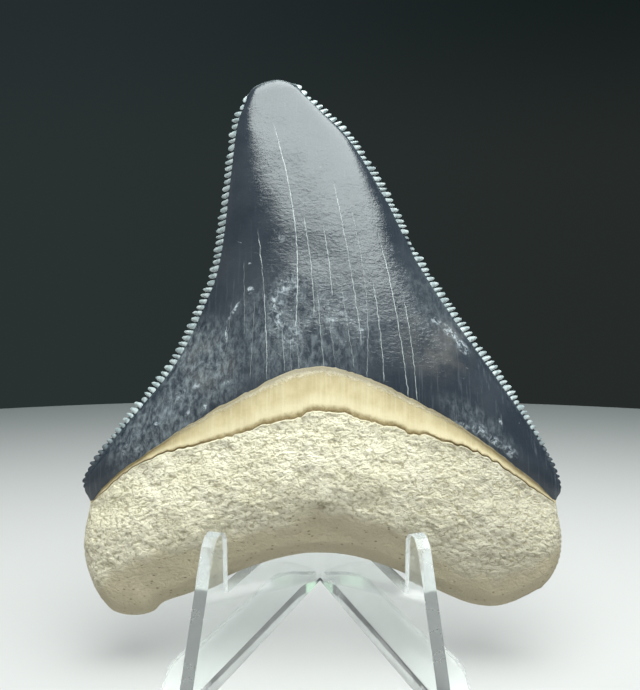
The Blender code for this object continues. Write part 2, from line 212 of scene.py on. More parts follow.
# -------------------- colours (linear)
ENAMEL = {
    "deep": (0.014, 0.021, 0.030), "slate": (0.030, 0.038, 0.048), "warm": (0.105, 0.10, 0.095),
    "streak": (0.12, 0.135, 0.155), "speckle": (0.22, 0.23, 0.24), "haze": (0.235, 0.27, 0.29),
    "scuff": (0.52, 0.58, 0.62), "crack": (0.46, 0.50, 0.49),
    "worn": (0.24, 0.29, 0.30), "chalk": (0.44, 0.49, 0.49),
}
# On the bare band, crease is painted shade: the dark brown of the crease above the root.
BAND = {
    "tan": (0.46, 0.37, 0.20), "sand": (0.56, 0.47, 0.28), "streak": (0.62, 0.54, 0.36),
    "lower": (0.66, 0.58, 0.40), "rim": (0.74, 0.67, 0.50), "crease": (0.20, 0.145, 0.065),
}
# On the root, the hollows' colour is painted shade between the grains.
# grey also paints shade, on the root's right side.
# tan also paints shade, on the root's lower band where it turns under.
ROOT = {
    "cream": (0.77, 0.705, 0.525), "pale": (0.84, 0.775, 0.61), "ochre": (0.55, 0.49, 0.30),
    "grey": (0.46, 0.42, 0.33), "hollow_shade": (0.31, 0.26, 0.135), "tan": (0.40, 0.345, 0.235),
    "pit": (0.17, 0.125, 0.065),
}
ACRYLIC = {"body": (0.955, 0.975, 0.965), "soaked": (0.80, 0.88, 0.82, 1.0), "density": 15.0}
SAWN = {"dark": (0.17, 0.18, 0.175), "light": (0.52, 0.54, 0.51)}
# The table's glow colours are painted light that fills its shadows.
# The table's rim colour is painted shade, for the light falling off towards the back.
TABLE = {
    "grey": (0.275, 0.26, 0.255), "light": (0.285, 0.27, 0.265), "rim": (0.09, 0.10, 0.10),
    "painted_fill_light": (0.33, 0.36, 0.355), "rim_painted_fill_light": (0.05, 0.06, 0.06),
}
BACKDROP = {
    "low_left": (0.023, 0.031, 0.031), "low_right": (0.0195, 0.0245, 0.0228),
    "high_left": (0.019, 0.026, 0.028), "high_right": (0.008, 0.0123, 0.0123),
}
ROOM = {"low": (0.30, 0.32, 0.33), "high": (0.25, 0.255, 0.2575)}

# -------------------- the easel (mm and degrees)
# The inner corner of its V, from its left and rear sides; the tooth's origin from that corner.
CORNER_IN = (18.057, 3.108)
TOOTH_AT = (0.0, -22.0, 12.0)
SHEET = 1.6
HALF_ANGLE = 20.3
TURN = -0.9
SOFT_EDGE = 0.22
BOTTOM = 0.3
FOOT_TOP = 2.0
WING_NORMAL = 0.94
CLEAR = {"transmission": 0.97, "roughness": 0.01}
FROSTED = {"transmission": 0.8, "roughness": 0.25}

# -------------------- the studio
# The round table, from the corner (mm); the lamps (m and W).
TABLE_RADIUS = 352.0
TABLE_AT = (0.0, -235.0, -0.04)
PANEL = {"spot": (0.044, -0.07, 0.27), "target": (0.044, -0.07, 0.0), "size": 0.328, "power": 2.0}
PANEL_COLOUR = (0.92, 1.0, 0.985)
SIDE_LAMP = {"away": 0.30, "behind": 0.20, "up": 0.22, "size": 0.2, "target": (0.0, 0.03, 0.0)}
SIDE_POWER = {"left": 0.25, "right": 0.15}
# The camera, from the corner (mm). Its focal length, and how far the horizon lies above the
# middle of the picture, are in the picture's pixels.
CAMERA_AT = (0.0, -132.3, 58.3)
PICTURE_WIDTH = 640.0
FOCAL_LENGTH = 950.0
HORIZON_UP = 165.0
SENSOR = 36.0

low_corner, high_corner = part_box("display_easel")
CORNER = Vector((low_corner[0] + CORNER_IN[0] * MM, high_corner[1] - CORNER_IN[1] * MM, 0.0))


# -------------------- lines and rows of points
def smooth(value):
    """From 0 to 1, with soft ends."""
    value = np.clip(value, 0.0, 1.0)
    return value * value * (3.0 - 2.0 * value)


def curve(points):
    """A smooth line through the points, sampled densely."""
    points = np.array(points, float)
    ends = np.vstack([2 * points[0] - points[1], points, 2 * points[-1] - points[-2]])
    steps = np.linspace(0.0, 1.0, 24, endpoint=False)[:, None]
    runs = []
    for a, b, c, d in zip(ends, ends[1:], ends[2:], ends[3:]):
        runs.append(
            0.5 * (2 * b + (c - a) * steps + (2 * a - 5 * b + 4 * c - d) * steps**2
                   + (3 * b - a - 3 * c + d) * steps**3)
        )
    return np.vstack([*runs, points[-1:]])


def along(line, shares):
    """The points at these shares of the line's length."""
    gaps = np.hypot(*np.diff(line, axis=0).T)
    length = np.concatenate([[0.0], np.cumsum(gaps)])
    at = np.asarray(shares) * length[-1]
    return np.stack([np.interp(at, length, line[:, 0]), np.interp(at, length, line[:, 1])], -1)


def between_ends(line, across):
    """How far each point of a line lies off the straight run between its two ends."""
    return line - (line[0] + (line[-1] - line[0]) * across[:, None])


def ragged(line, amount, size, seed):
    """Shifts a line up and down a little, as a broken edge is."""
    moved = line.copy()
    for k, (x, _) in enumerate(line):
        ease = min(1.0, 6.0 * k / len(line), 6.0 * (len(line) - 1 - k) / len(line))
        wave = 0.0
        for part, rate in ((1.0, 1.0), (0.6, 3.1), (0.3, 5.3)):
            wave += part * noise.noise(Vector((x * rate / size, seed, rate)))
        moved[k, 1] += amount * ease * wave
    return moved


def edge_distance(points, outline):
    """How far each point is from the nearest point of the outline."""
    flat = points.reshape(-1, 2)
    nearest = np.full(len(flat), np.inf)
    for start in range(0, len(outline), 64):
        gaps = flat[:, None, :] - outline[None, start:start + 64, :]
        nearest = np.minimum(nearest, (gaps**2).sum(-1).min(1))
    return np.sqrt(nearest).reshape(points.shape[:-1])


def tip_ease(share):
    """How fully the serrated edge is formed, from the worn tip downwards."""
    return smooth(share / 0.045 + 0.12)


def spread(share):
    """How wide the bevel behind the serrations is: narrow near the tip."""
    return 0.3 + 0.7 * smooth(share / 0.4)


def crown_steps():
    """Where the crown's rows lie, from the worn tip (0) to the base corners (1)."""
    steps = np.linspace(0.0, 1.0, CROWN_ROWS + 1)
    steps[1] = BLUNT_STEP
    return steps


def crown_rows(face, across, enamel_line, enamel):
    """The enamel on one face, from the tip to its ragged lower edge."""
    left = curve(LEFT_EDGE)
    right = curve(RIGHT_EDGE)
    tip_line = curve(TIP)
    rows = []
    depths = []
    for step in crown_steps():
        first = along(left, [step])[0]
        last = along(right, [step])[0]
        inset = 0.0
        if step > 0.0:
            bevel = 0.1 + (NOTCH + INSET * spread(step)) * tip_ease(step)
            closing = 0.35 + 0.65 * smooth((1.0 - step) / 0.12)
            inset = bevel * closing / np.hypot(*(last - first))
        at = inset + (1.0 - 2.0 * inset) * across
        row = first + (last - first) * at[:, None]
        # The rows are arched like the tip above and like the enamel's edge below.
        row = row + between_ends(along(tip_line, at), across) * (1.0 - step) ** 8
        edge = (1.0 - step**30) * along(enamel_line, at) + step**30 * enamel
        row = row + between_ends(edge, across) * step**2.4
        thick = face["thick"] * (1.0 - (1.0 - step) ** 1.8)
        thick += face["blunt"] * (1.0 - step) ** 2 * min(1.0, step / BLUNT_STEP)
        # Flatter across near the tip, rounder towards the base.
        flat = 2.0 + 3.0 * (1.0 - step) ** 2
        rows.append(row)
        depths.append(thick * (1.0 - np.abs(2.0 * at - 1.0) ** flat) ** face["power"])
    return rows, depths


def band_rows(front, enamel, root_top, top_depth, worn):
    """The bare band: a step down from the enamel, and a crease above the root."""
    rows = []
    depths = []
    for step in BAND_STEPS:
        dip = BACK_DIP * step
        swell = 1.0
        if front:
            dip = ENAMEL_STEP * smooth(step / 0.06)
            dip += 0.12 * math.sin(math.pi * step)
            dip += 0.3 * smooth((step - 0.9) / 0.1)
            swell += BAND_SWELL * step
        rows.append(enamel + (root_top - enamel) * step)
        depths.append(top_depth * swell - dip * worn)
    return rows, depths


def root_front_depth(step, middle, gap, rim, top_depth, worn):
    """The display side of the root: rounded off to its rim, and fullest in the middle."""
    turned = np.sqrt(1.0 - (1.0 - np.clip(gap / 1.8, 0.0, 1.0)) ** 2)
    rounding = 0.56 * turned + 0.44 * np.sin(np.clip(gap / 8.4, 0.0, 1.0) * math.pi / 2) ** 1.2
    belly = (ROOT_MIDDLE - ROOT_LOBE) * (1.0 - np.abs(middle) ** 1.6) * (1.0 - 0.3 * step**2)
    full = rim + (ROOT_LOBE + belly - rim) * rounding
    top = top_depth * (1.0 + BAND_SWELL) + (ROOT_STEP - ENAMEL_STEP) * worn
    return top + (full - top) * smooth(step / 0.45)


def root_back_depth(step, middle, gap, rim, top_depth, worn):
    """The back of the root: plainer and nearly flat, with a shallow groove near its top."""
    rounding = np.sqrt(1.0 - (1.0 - np.clip(gap / 6.0, 0.0, 1.0)) ** 2)
    belly = ROOT_BACK_DEPTH + 0.4 * middle**2 - 0.7 * math.exp(-((step - 0.2) / 0.15) ** 2)
    full = -rim + (belly + rim) * rounding
    top = top_depth - BACK_DIP * worn
    return top + (full - top) * smooth(step / 0.4)


def root_rows(front, across, root_top, top_depth, worn):
    """The root on one face, from its upper edge to its lower one."""
    side_left = curve(ROOT_LEFT)
    side_right = curve(ROOT_RIGHT)
    bottom = curve(ROOT_BOTTOM)
    root_low = along(bottom, across)
    outline = np.vstack([
        curve(LEFT_EDGE), side_left, bottom, side_right[::-1], curve(RIGHT_EDGE)[::-1],
    ])
    middle = 2.0 * across - 1.0
    steps = np.linspace(0.0, 1.0, ROOT_ROWS + 1)
    steps = 0.6 * steps + 0.4 * np.sin(steps * math.pi / 2)
    steps[0] = 0.012
    rows = []
    depths = []
    for step in steps:
        row = root_top + (root_low - root_top) * step
        bend_left = along(side_left, [step])[0] - row[0]
        bend_right = along(side_right, [step])[0] - row[-1]
        row = row + bend_left * (1.0 - across)[:, None] + bend_right * across[:, None]
        gap = edge_distance(row, outline)
        rim = ROOT_RIM * smooth(step / 0.4)
        depth_at = root_front_depth if front else root_back_depth
        rows.append(row)
        depths.append(depth_at(step, middle, gap, rim, top_depth, worn))
    return rows, depths


def rows_of(name):
    """One face of the tooth: rows of points from the tip to the root's low edge, and depths."""
    face = FACES[name]
    front = name == "front"
    share = np.linspace(0.0, 1.0, COLUMNS + 1)
    across = 0.62 * share + 0.38 * (0.5 - 0.5 * np.cos(math.pi * share))
    enamel_line = curve(face["enamel"])
    enamel = ragged(along(enamel_line, across), 0.22, 2.3, face["seeds"][0])
    root_top = ragged(along(curve(face["root"]), across), 0.34, 2.0, face["seeds"][1])
    middle = 2.0 * across - 1.0
    top_depth = face["thick"] * (1.0 - middle**2) ** face["power"]
    worn = 1.0 - np.abs(middle) ** 8
    rows = []
    depths = []
    for part_rows, part_depths in (
        crown_rows(face, across, enamel_line, enamel),
        band_rows(front, enamel, root_top, top_depth, worn),
        root_rows(front, across, root_top, top_depth, worn),
    ):
        rows += part_rows
        depths += part_depths
    depths = np.array(depths)
    depths[-1] = face["sign"] * ROOT_RIM
    return np.array(rows), depths


# -------------------- the root's relief
LOW_BAND_LINE = curve(LOW_BAND_FRONT)
LOW_EDGE_LINE = curve(ROOT_BOTTOM)


def low_edge(x):
    """The height of the root's lower edge at this place across."""
    return float(np.interp(x, LOW_EDGE_LINE[:, 0], LOW_EDGE_LINE[:, 1]))


def low_band(x, y, side):
    """How far into the smooth lower band a place on the root is."""
    if side > 0:
        start = float(np.interp(x, LOW_BAND_LINE[:, 0], LOW_BAND_LINE[:, 1]))
    else:
        start = low_edge(x) + LOW_BAND_BACK
    start += 0.9 * noise.noise(Vector((x * 0.5, y * 0.5, 11.0)))
    return float(smooth((start - y) / 2.2 + 0.5))


def bell(x, y, spot):
    """1 in the middle of a hollow, falling off to 0 around it."""
    reach = ((x - spot["across"]) / spot["width"]) ** 2
    reach += ((y - spot["up"]) / spot["height"]) ** 2
    return math.exp(-reach)


def root_relief(x, y, side):
    """The root's surface at a point: how far it stands out (mm), how hollow, how far down."""
    spot = Vector((x, y, side))
    bend_x = noise.noise(spot * 0.7 + Vector((9, 0, 0)))
    bend_y = noise.noise(spot * 0.7 + Vector((0, 9, 0)))
    bent = spot + Vector((bend_x, bend_y, 0.0)) * 0.7
    slant = Vector((bent.x * 0.85 - bent.y * 0.35, bent.y * 1.15 + bent.x * 0.25, side))
    lump = noise.noise(spot * 0.33) * 0.30 + noise.noise(spot * 0.8) * 0.16
    grain = 0.75 - 1.2 * noise.voronoi(slant * 1.35)[0][0]
    grain += 0.7 * noise.noise(slant * 2.1 + Vector((3, 1, 0)))
    near = noise.voronoi(Vector((bent.x * 0.5, bent.y * 0.7, side)))[0][0]
    pit = smooth((0.15 - near) / 0.12)
    low = low_band(x, y, side)
    rough = 1.0 - 0.8 * low
    # How hollow each point is, between grains and in pits; the root's material paints shade there.
    hollow = smooth((0.05 - grain) / 0.45) * rough
    out = lump * (1.0 - 0.5 * low) + 0.24 * grain * rough - 0.3 * pit * rough
    if side > 0:
        hole = bell(x, y, FORAMEN)
        out -= FORAMEN["depth"] * hole
        hollow = max(hollow, hole)
    return out, float(min(1.0, 0.75 * hollow + 0.6 * pit * rough)), low


# -------------------- the tooth's surface
class Surface:
    """The tooth's mesh, and the marks that its materials read at each point."""

    def __init__(self):
        self.mesh = bmesh.new()
        layers = self.mesh.verts.layers.float
        self.marks = {name: layers.new(name) for name in ("band", "lobe", "pit", "low")}

    def point(self, at, depth, **marks):
        """Adds a point of the tooth's own frame (mm)."""
        vert = self.mesh.verts.new(Vector((at[0], -depth, at[1])) * MM)
        for name, value in marks.items():
            vert[self.marks[name]] = value
        return vert

    def face(self, corners, look=0):
        self.mesh.faces.new(corners).material_index = look

    def zip(self, chain, upper, lower, top):
        """Joins a run of edge points to the two grid points beside it."""
        half = 0 if top else (len(chain) - 1) // 2
        for index, (one, two) in enumerate(zip(chain, chain[1:])):
            self.face((one, two, upper if index < half else lower))
        self.face((chain[half], lower, upper))


class CuttingEdge:
    """One serrated edge: points along it, how far into a lobe each is, and two directions."""

    def __init__(self, name, rng):
        self.name = name
        self.side = CUTTING_EDGES[name]["outward"]
        self.inner = CUTTING_EDGES[name]["inner"]
        self.lay_out_lobes(rng)
        path = curve(CUTTING_EDGES[name]["line"])
        self.line = along(path, self.shares)
        before = along(path, np.clip(self.shares - 0.01, 0.0, 1.0))
        after = along(path, np.clip(self.shares + 0.01, 0.0, 1.0))
        self.run = (after - before) / np.hypot(*(after - before).T)[:, None]
        self.outward = np.stack([-self.run[:, 1], self.run[:, 0]], -1) * self.side
        self.taper = smooth((1.0 - self.shares) / 0.05) * tip_ease(self.shares)
        finer = 1.0 - 0.35 * smooth((self.shares - 0.72) / 0.15)
        self.notch = NOTCH * self.taper * finer
        self.reach = (self.notch + LOBE_REACH) * self.lobes
        self.marks = [int(np.abs(self.shares - step).argmin()) for step in crown_steps()]

    def lobe_size(self, start, rng):
        """How large the lobe is that starts here: some are chipped, and they fade at both ends."""
        whole = rng.random() > CHIPPED_SHARE
        size = rng.uniform(0.8, 1.12) if whole else rng.uniform(0.45, 0.65)
        size *= (0.75 + 0.25 * smooth(start / 0.05)) * (1.0 - 0.42 * smooth((start - 0.72) / 0.15))
        size *= smooth((0.985 - start) / 0.05)
        if self.name == DAMAGED["side"] and DAMAGED["from"] < start < DAMAGED["to"]:
            size *= DAMAGED["size"]
        return size

    def lay_out_lobes(self, rng):
        """Places the points of all lobes along the edge, each lobe a little out of step."""
        count = SERRATIONS[self.name]
        starts = np.linspace(0.0, 1.0, count + 1) ** SPACING_POWER
        starts[1:-1] += rng.uniform(-0.17, 0.17, count - 1) / count
        shares = []
        lobes = []
        for start, end in zip(starts, starts[1:]):
            size = self.lobe_size(start, rng)
            for k in range(LOBE_POINTS):
                inside = k / LOBE_POINTS
                off = (0.5 - inside) / 0.44 if inside < 0.5 else (inside - 0.5) / 0.42
                shares.append(start + (end - start) * inside)
                lobes.append(size * max(0.0, 1.0 - off**2.3) ** 0.75)
        self.shares = np.array([*shares, 1.0])
        self.lobes = np.array([*lobes, 0.0])

    def row(self, out, part):
        """A row of points this far out from the edge's line, hooked by this part."""
        hook = self.run * (LOBE_HOOK * self.lobes * part)[:, None]
        return self.line + self.outward * out[:, None] + hook

    def build_rim(self, surface):
        """The outermost row, which both faces share."""
        at = self.row(self.reach - self.notch, 1.0)
        self.rim = [
            surface.point(point, 0.0, lobe=min(1.0, 1.4 * lobe)) for point, lobe in zip(at, self.lobes)
        ]

    def build_rows(self, surface, sign, depths):
        """The rows from the blade's flank out to the rim, on one face."""
        lobes = self.lobes
        flank = np.interp(self.shares, crown_steps(), depths[:CROWN_ROWS + 1, self.inner])
        flank = np.maximum(flank, 0.3 * self.taper) + 0.02
        thin = np.minimum(flank, 0.75)
        rows = []
        # How far behind the notches, the share of the lobe's reach, the depth, and how pale.
        for behind, part, depth, pale in (
            (0.40, 0.0, 0.86 * flank, 0.35),
            (0.16, 0.0, (0.68 - 0.3 * (1.0 - lobes)) * flank + 0.04 * lobes, 0.9),
            (0.0, 0.34, (0.05 + 0.40 * lobes) * thin + 0.05, 1.0),
            (0.0, 0.74, (0.02 + 0.20 * lobes) * thin + 0.03, 1.0),
        ):
            inward = self.notch + behind * self.taper * spread(self.shares) + 0.02
            at = self.row(part * self.reach - inward, part)
            deep = sign * depth * (0.25 + 0.75 * self.taper)
            rows.append([
                surface.point(at[k], deep[k], lobe=min(1.0, 1.4 * lobes[k]) * pale)
                for k in range(len(lobes))
            ])
        return rows


def shared_rim(surface, edges, rows, depths):
    """The grid points that both faces share: the tip, the root's sides and its lower edge."""
    rim = {}
    for j in range(1, COLUMNS):
        rim[0, j] = surface.point(rows[0, j], 0.0, lobe=0.55)
        rim[LAST_ROW, j] = surface.point(rows[LAST_ROW, j], ROOT_RIM)
    for edge in edges:
        j = CUTTING_EDGES[edge.name]["corner"]
        rim[CROWN_ROWS, j] = edge.rim[-1]
        for i in range(CROWN_ROWS + 1, LAST_ROW + 1):
            rim[i, j] = surface.point(rows[i, j], depths[i, j])
    return rim


def grid_point(surface, sign, i, x, y, depth):
    """A point of one face, with the relief of the material it belongs to."""
    marks = {}
    if i >= ROOT_FIRST:
        out, marks["pit"], marks["low"] = root_relief(x, y, 3.0 * sign)
        out *= 0.35 + 0.65 * smooth((y - low_edge(x)) / 4.4)
        fade_in = min(1.0, 0.35 + 0.16 * (i - ROOT_FIRST))
        fade_out = min(1.0, 0.2 * (LAST_ROW - i))
        depth += out * fade_in * fade_out
        if sign > 0:
            depth -= HOLLOW["depth"] * bell(x, y, HOLLOW)
    elif i > BAND_FIRST:
        depth += 0.07 * noise.noise(Vector((x * 0.9, y * 0.35, 2.0)))
    else:
        depth += 0.06 * noise.noise(Vector((x * 0.22, y * 0.2, 7.0 * sign)))
    if i == 1:
        marks["lobe"] = 0.3
    if i > ROOT_FIRST:
        marks["band"] = 1.0 + (i - ROOT_FIRST) / ROOT_ROWS
    elif i > BAND_FIRST:
        marks["band"] = BAND_STEPS[i - BAND_FIRST - 1]
    return surface.point((x, y), sign * depth, **marks)


def look_of(i, name):
    """The material between two rows: 0 enamel, 1 bare band, 2 root. The back has no bare band."""
    if i < CROWN_ROWS:
        return 0
    if i >= ROOT_FIRST:
        return 2
    if name == "front":
        return 1
    return 0 if i < ROOT_FIRST - 4 else 2


def cover(surface, name, grid, edges, edge_rows):
    """The faces of one side: the grid, and the strips that join it to the cutting edges."""
    for i in range(LAST_ROW):
        crown = i < CROWN_ROWS
        for j in range(COLUMNS):
            if crown and j in (0, COLUMNS - 1):
                continue
            corners = (grid[i, j], grid[i, j + 1], grid[i + 1, j + 1], grid[i + 1, j])
            surface.face(corners, look_of(i, name))
        if not crown:
            continue
        for edge in edges:
            base = edge_rows[edge.name][0]
            start, end = edge.marks[i], edge.marks[i + 1]
            if i == CROWN_ROWS - 1:
                end = len(base) - 1
            surface.zip(base[start:end + 1], grid[i, edge.inner], grid[i + 1, edge.inner], i == 0)
    # The serrations: from the blade's flank over each lobe to the rim, then both ends closed.
    for edge in edges:
        rows = edge_rows[edge.name] + [edge.rim]
        for one, two in zip(rows, rows[1:]):
            for k in range(len(one) - 1):
                surface.face((one[k], one[k + 1], two[k + 1], two[k]))
        for end, corner in ((0, grid[0, edge.inner]), (-1, grid[CROWN_ROWS, edge.inner])):
            for one, two in zip(rows, rows[1:-1]):
                surface.face((edge.rim[end], two[end], one[end]))
            surface.face((edge.rim[end], rows[0][end], corner))


def count_open(mesh):
    return sum(1 for item in mesh.edges if not item.is_manifold)


def build_tooth():
    rng = np.random.default_rng(SEED)
    surface = Surface()
    faces = {name: rows_of(name) for name in FACES}
    edges = []
    edge_rows = {name: {} for name in FACES}
    for side in CUTTING_EDGES:
        edge = CuttingEdge(side, rng)
        edge.build_rim(surface)
        for name, face in FACES.items():
            edge_rows[name][side] = edge.build_rows(surface, face["sign"], faces[name][1])
        edges.append(edge)
    rim = shared_rim(surface, edges, *faces["front"])
    for name, face in FACES.items():
        rows, depths = faces[name]
        grid = dict(rim)
        for i in range(1, LAST_ROW):
            for j in range(1, COLUMNS):
                grid[i, j] = grid_point(surface, face["sign"], i, *rows[i, j], depths[i, j])
        cover(surface, name, grid, edges, edge_rows[name])
    mesh = surface.mesh
    bmesh.ops.recalc_face_normals(mesh, faces=mesh.faces)
    data = bpy.data.meshes.new("tooth_surface")
    mesh.to_mesh(data)
    print("tooth", len(data.polygons), "faces;", count_open(mesh), "open edges")
    mesh.free()
    data.shade_smooth()
    data.set_sharp_from_angle(angle=math.radians(55.0))
    tooth = bpy.data.objects.new("fossil_tooth", data)
    bpy.context.scene.collection.objects.link(tooth)
    leant = Matrix.Rotation(-LEAN, 4, "X")
    tooth.matrix_world = Matrix.Translation(CORNER + Vector(TOOTH_AT) * MM) @ leant
    return tooth


# -------------------- node trees
class Nodes:
    """A short way to write a node tree."""

    def __init__(self, tree):
        self.tree = tree

    def node(self, kind, **settings):
        made = self.tree.nodes.new(kind)
        for key, value in settings.items():
            setattr(made, key, value)
        return made

    def plug(self, socket, value):
        if isinstance(value, bpy.types.NodeSocket):
            self.tree.links.new(value, socket)
        else:
            socket.default_value = value

    def math(self, operation, one, two=0.0, three=0.0, clamp=False):
        made = self.node("ShaderNodeMath", operation=operation, use_clamp=clamp)
        for socket, value in zip(made.inputs, (one, two, three)):
            self.plug(socket, value)
        return made.outputs[0]

    def times(self, one, two, clamp=False):
        return self.math("MULTIPLY", one, two, clamp=clamp)

    def plus(self, one, two):
        return self.math("ADD", one, two)

    def minus(self, one, two):
        return self.math("SUBTRACT", one, two)

    def scaled(self, value, factor, shift):
        return self.math("MULTIPLY_ADD", value, factor, shift)

    def larger(self, one, two):
        return self.math("MAXIMUM", one, two)

    def ease(self, value, low, high, start=0.0, end=1.0):
        """Maps low..high to start..end with soft ends."""
        made = self.node("ShaderNodeMapRange", interpolation_type="SMOOTHSTEP")
        for socket, given in zip(made.inputs, (value, low, high, start, end)):
            self.plug(socket, given)
        return made.outputs[0]

    def mix(self, amount, one, two):
        made = self.node("ShaderNodeMix", data_type="RGBA")
        self.plug(made.inputs["Factor"], amount)
        for name, value in (("A", one), ("B", two)):
            linked = isinstance(value, bpy.types.NodeSocket)
            self.plug(made.inputs[name], value if linked else (*value, 1.0))
        return made.outputs["Result"]

    def noise(self, where, scale, detail=3.0, rough=0.55, warp=0.0):
        made = self.node("ShaderNodeTexNoise")
        self.plug(made.inputs["Vector"], where)
        self.plug(made.inputs["Scale"], scale)
        self.plug(made.inputs["Detail"], detail)
        self.plug(made.inputs["Roughness"], rough)
        self.plug(made.inputs["Distortion"], warp)
        return made.outputs["Fac"]

    def bend(self, where, scale, amount):
        """Coordinates pushed about by a soft noise."""
        wave = self.node("ShaderNodeTexNoise")
        self.plug(wave.inputs["Vector"], where)
        self.plug(wave.inputs["Scale"], scale)
        made = self.node("ShaderNodeVectorMath", operation="MULTIPLY_ADD")
        self.plug(made.inputs[0], wave.outputs["Color"])
        made.inputs[1].default_value = (amount, amount, amount)
        self.plug(made.inputs[2], where)
        return made.outputs[0]

    def cells(self, where, scale):
        made = self.node("ShaderNodeTexVoronoi", feature="F1")
        self.plug(made.inputs["Vector"], where)
        self.plug(made.inputs["Scale"], scale)
        return made.outputs["Distance"]

    def split(self, where):
        made = self.node("ShaderNodeSeparateXYZ")
        self.plug(made.inputs[0], where)
        return made.outputs


class Look(Nodes):
    """A material, written in millimetres of its piece's own frame."""

    def __init__(self, name):
        self.material = bpy.data.materials.new(name)
        self.material.use_nodes = True
        super().__init__(self.material.node_tree)
        self.shader = self.tree.nodes["Principled BSDF"]
        self.out = self.tree.nodes["Material Output"]
        self.own = self.node("ShaderNodeTexCoord").outputs["Object"]

    def place(self, stretch=(1.0, 1.0, 1.0), turn=0.0):
        """The piece's own frame in millimetres, stretched and turned."""
        made = self.node("ShaderNodeMapping")
        made.inputs["Scale"].default_value = [part / MM for part in stretch]
        made.inputs["Rotation"].default_value = (0.0, turn, 0.0)
        self.plug(made.inputs["Vector"], self.own)
        return made.outputs["Vector"]

    def attribute(self, name):
        return self.node("ShaderNodeAttribute", attribute_name=name).outputs["Fac"]

    def bump(self, height, strength, distance, under=None):
        made = self.node("ShaderNodeBump")
        self.plug(made.inputs["Height"], height)
        self.plug(made.inputs["Strength"], strength)
        self.plug(made.inputs["Distance"], distance)
        if under is not None:
            self.plug(made.inputs["Normal"], under)
        return made.outputs["Normal"]

    def set(self, **values):
        for key, value in values.items():
            socket = self.shader.inputs[key.replace("_", " ")]
            if isinstance(value, tuple) and len(value) == 3:
                value = (*value, 1.0)
            self.plug(socket, value)


# -------------------- the tooth's materials
def crack_mask(look, where):
    """White lines down the display face."""
    x, _, z = look.split(where)
    wobble = look.scaled(look.noise(where, 1.1, 2.0), 0.34, -0.17)
    breaks = look.ease(look.noise(where, 0.9, 3.0, 0.7), 0.36, 0.5)
    total = 0.0
    for (x0, z0), (x1, z1), bow, width, strength in CRACKS:
        share = look.math("DIVIDE", look.minus(z, z0), z1 - z0)
        arch = look.times(look.times(share, look.minus(1.0, share)), 4.0 * bow)
        line = look.plus(look.scaled(share, x1 - x0, x0), arch)
        off = look.math("ABSOLUTE", look.minus(x, look.plus(line, wobble)))
        here = look.ease(off, 0.25 * width, 1.1 * width, strength, 0.0)
        ends = look.times(look.ease(share, -0.02, 0.03), look.ease(share, 0.9, 1.02, 1.0, 0.0))
        total = look.larger(total, look.times(here, ends))
    return look.times(total, look.scaled(breaks, 0.65, 0.35))


def patch_mask(look, where, patches):
    """Soft ellipses on the display face."""
    x, _, z = look.split(where)
    total = 0.0
    for (cx, cz), (rx, rz), tilt, strength in patches:
        c = math.cos(math.radians(tilt))
        s = math.sin(math.radians(tilt))
        dx = look.minus(x, cx)
        dz = look.minus(z, cz)
        one = look.math("MULTIPLY_ADD", dx, c / rx, look.times(dz, s / rx))
        two = look.math("MULTIPLY_ADD", dz, c / rz, look.times(dx, -s / rz))
        far = look.plus(look.times(one, one), look.times(two, two))
        total = look.larger(total, look.ease(far, 0.0, 1.4, strength, 0.0))
    return total


def smear_mask(look, where):
    """The curved smear left of the middle, open to the right."""
    x, _, z = look.split(where)
    one = look.scaled(x, 1.0 / SMEAR["width"], -SMEAR["across"] / SMEAR["width"])
    two = look.scaled(z, 1.0 / SMEAR["height"], -SMEAR["up"] / SMEAR["height"])
    far = look.math("SQRT", look.plus(look.times(one, one), look.times(two, two)))
    ring = look.ease(look.math("ABSOLUTE", look.minus(far, 1.0)), 0.0, 0.8, 0.5, 0.0)
    return look.times(ring, look.ease(one, 0.1, 0.6, 1.0, 0.0))


def scuff_mask(look, where, front):
    """Where the polish is scuffed away: the known patches, torn, and a few stray ones."""
    torn = look.ease(look.noise(where, 1.5, 6.0, 0.72, 0.6), 0.43, 0.66)
    patches = look.larger(patch_mask(look, where, SCUFFS), smear_mask(look, where))
    scuff = look.times(patches, torn, clamp=True)
    stray = look.ease(look.noise(where, 0.55, 6.0, 0.75, 0.8), 0.66, 0.75)
    return look.times(look.larger(scuff, look.times(stray, 0.35)), front)


